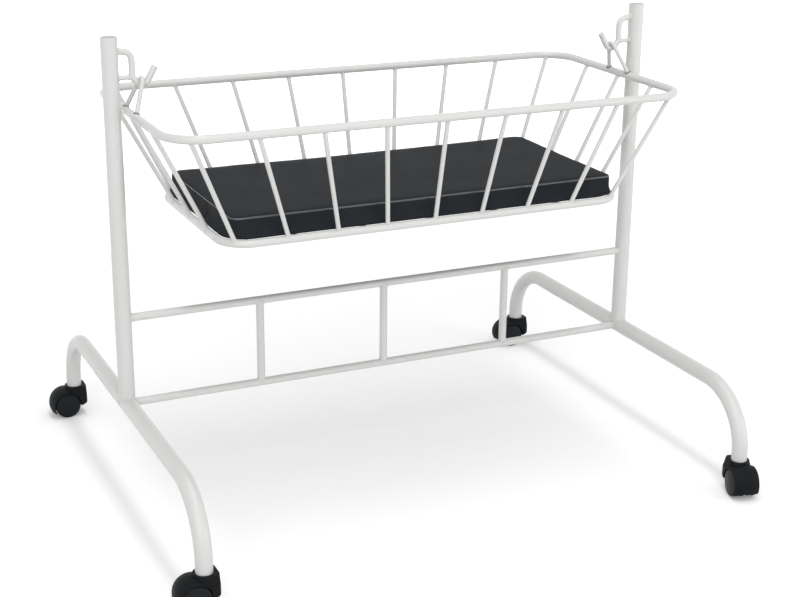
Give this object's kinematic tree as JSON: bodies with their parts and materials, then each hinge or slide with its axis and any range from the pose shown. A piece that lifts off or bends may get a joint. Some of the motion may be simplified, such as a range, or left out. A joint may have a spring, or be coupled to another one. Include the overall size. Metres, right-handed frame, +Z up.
{
  "type": "hospital bassinet",
  "caption": "Hospital bassinet: a tapered wire basket with a flat vinyl mattress swings from hooks on a tubular stand with twin-wheel casters.",
  "frame": {"origin": "on the floor, midway between the two uprights' axes", "axes": "+X along the bassinet's length to the right-hand upright, +Y across it to the back, +Z up"},
  "size_m": [0.9691, 0.81, 0.733],
  "materials": {
    "white_enamel": "gloss white enamel on steel tube and rod, slightly warm",
    "black_vinyl": "black vinyl sheet, low sheen, sewn edge",
    "foam": "plain foam inside the cover",
    "black_nylon": "moulded black nylon, satin",
    "wheel_nylon": "moulded black nylon wheel, satin",
    "zinc_steel": "zinc-plated steel"
  },
  "bodies": {
    "stand": {"upper_rail": "white_enamel", "lower_rail": "white_enamel", "rail_post_left": "white_enamel", "rail_post_middle": "white_enamel", "rail_post_right": "white_enamel", "upright_left": "white_enamel", "upright_right": "white_enamel", "upright_cap_left": "white_enamel", "upright_cap_right": "white_enamel", "base_tube_left": "white_enamel", "base_tube_right": "white_enamel", "hook_left": "white_enamel", "hook_right": "white_enamel", "hook_brace_left": "white_enamel", "hook_brace_right": "white_enamel", "caster_socket_front_left": "black_nylon", "caster_socket_front_right": "black_nylon", "caster_socket_back_left": "black_nylon", "caster_socket_back_right": "black_nylon", "caster_stem_front_left": "zinc_steel", "caster_stem_front_right": "zinc_steel", "caster_stem_back_left": "zinc_steel", "caster_stem_back_right": "zinc_steel"},
    "basket": {"basket_rim": "white_enamel", "basket_bottom_ring": "white_enamel", "front_slats": "white_enamel", "back_slats": "white_enamel", "left_end_slats": "white_enamel", "right_end_slats": "white_enamel", "basket_cross_rods": "white_enamel", "hanging_loop_left": "white_enamel", "hanging_loop_right": "white_enamel"},
    "mattress": {"mattress_cover": "black_vinyl", "mattress_core": "foam"},
    "caster_front_left": {"caster_hood_front_left": "black_nylon", "caster_axle_front_left": "zinc_steel"},
    "wheel_1_front_left": {"caster_wheel_1_front_left": "wheel_nylon"},
    "wheel_2_front_left": {"caster_wheel_2_front_left": "wheel_nylon"},
    "caster_front_right": {"caster_hood_front_right": "black_nylon", "caster_axle_front_right": "zinc_steel"},
    "wheel_1_front_right": {"caster_wheel_1_front_right": "wheel_nylon"},
    "wheel_2_front_right": {"caster_wheel_2_front_right": "wheel_nylon"},
    "caster_back_left": {"caster_hood_back_left": "black_nylon", "caster_axle_back_left": "zinc_steel"},
    "wheel_1_back_left": {"caster_wheel_1_back_left": "wheel_nylon"},
    "wheel_2_back_left": {"caster_wheel_2_back_left": "wheel_nylon"},
    "caster_back_right": {"caster_hood_back_right": "black_nylon", "caster_axle_back_right": "zinc_steel"},
    "wheel_1_back_right": {"caster_wheel_1_back_right": "wheel_nylon"},
    "wheel_2_back_right": {"caster_wheel_2_back_right": "wheel_nylon"}
  },
  "joints": [
    {"name": "basket_swing", "type": "hinge", "parent": "stand", "child": "basket", "pos_m": [0, 0, 0.6615], "axis": [1, 0, 0], "range_deg": [-30, 30]},
    {"name": "mattress_lift", "type": "slide", "parent": "basket", "child": "mattress", "axis": [0, 0, 1], "range_m": [0, 0.2]},
    {"name": "caster_swivel_front_left", "type": "hinge", "parent": "stand", "child": "caster_front_left", "pos_m": [-0.45, -0.371, 0.045], "axis": [0, 0, 1], "continuous": true},
    {"name": "wheel_spin_1_front_left", "type": "hinge", "parent": "caster_front_left", "child": "wheel_1_front_left", "pos_m": [-0.4665, -0.371, 0.022], "axis": [0, -1, 0], "continuous": true},
    {"name": "wheel_spin_2_front_left", "type": "hinge", "parent": "caster_front_left", "child": "wheel_2_front_left", "pos_m": [-0.4665, -0.371, 0.022], "axis": [0, -1, 0], "continuous": true},
    {"name": "caster_swivel_front_right", "type": "hinge", "parent": "stand", "child": "caster_front_right", "pos_m": [0.45, -0.371, 0.045], "axis": [0, 0, 1], "continuous": true},
    {"name": "wheel_spin_1_front_right", "type": "hinge", "parent": "caster_front_right", "child": "wheel_1_front_right", "pos_m": [0.44573, -0.38694, 0.022], "axis": [0.9659, -0.2588, 0], "continuous": true},
    {"name": "wheel_spin_2_front_right", "type": "hinge", "parent": "caster_front_right", "child": "wheel_2_front_right", "pos_m": [0.44573, -0.38694, 0.022], "axis": [0.9659, -0.2588, 0], "continuous": true},
    {"name": "caster_swivel_back_left", "type": "hinge", "parent": "stand", "child": "caster_back_left", "pos_m": [-0.45, 0.371, 0.045], "axis": [0, 0, 1], "continuous": true},
    {"name": "wheel_spin_1_back_left", "type": "hinge", "parent": "caster_back_left", "child": "wheel_1_back_left", "pos_m": [-0.4665, 0.371, 0.022], "axis": [0, -1, 0], "continuous": true},
    {"name": "wheel_spin_2_back_left", "type": "hinge", "parent": "caster_back_left", "child": "wheel_2_back_left", "pos_m": [-0.4665, 0.371, 0.022], "axis": [0, -1, 0], "continuous": true},
    {"name": "caster_swivel_back_right", "type": "hinge", "parent": "stand", "child": "caster_back_right", "pos_m": [0.45, 0.371, 0.045], "axis": [0, 0, 1], "continuous": true},
    {"name": "wheel_spin_1_back_right", "type": "hinge", "parent": "caster_back_right", "child": "wheel_1_back_right", "pos_m": [0.4335, 0.371, 0.022], "axis": [0, -1, 0], "continuous": true},
    {"name": "wheel_spin_2_back_right", "type": "hinge", "parent": "caster_back_right", "child": "wheel_2_back_right", "pos_m": [0.4335, 0.371, 0.022], "axis": [0, -1, 0], "continuous": true}
  ]
}
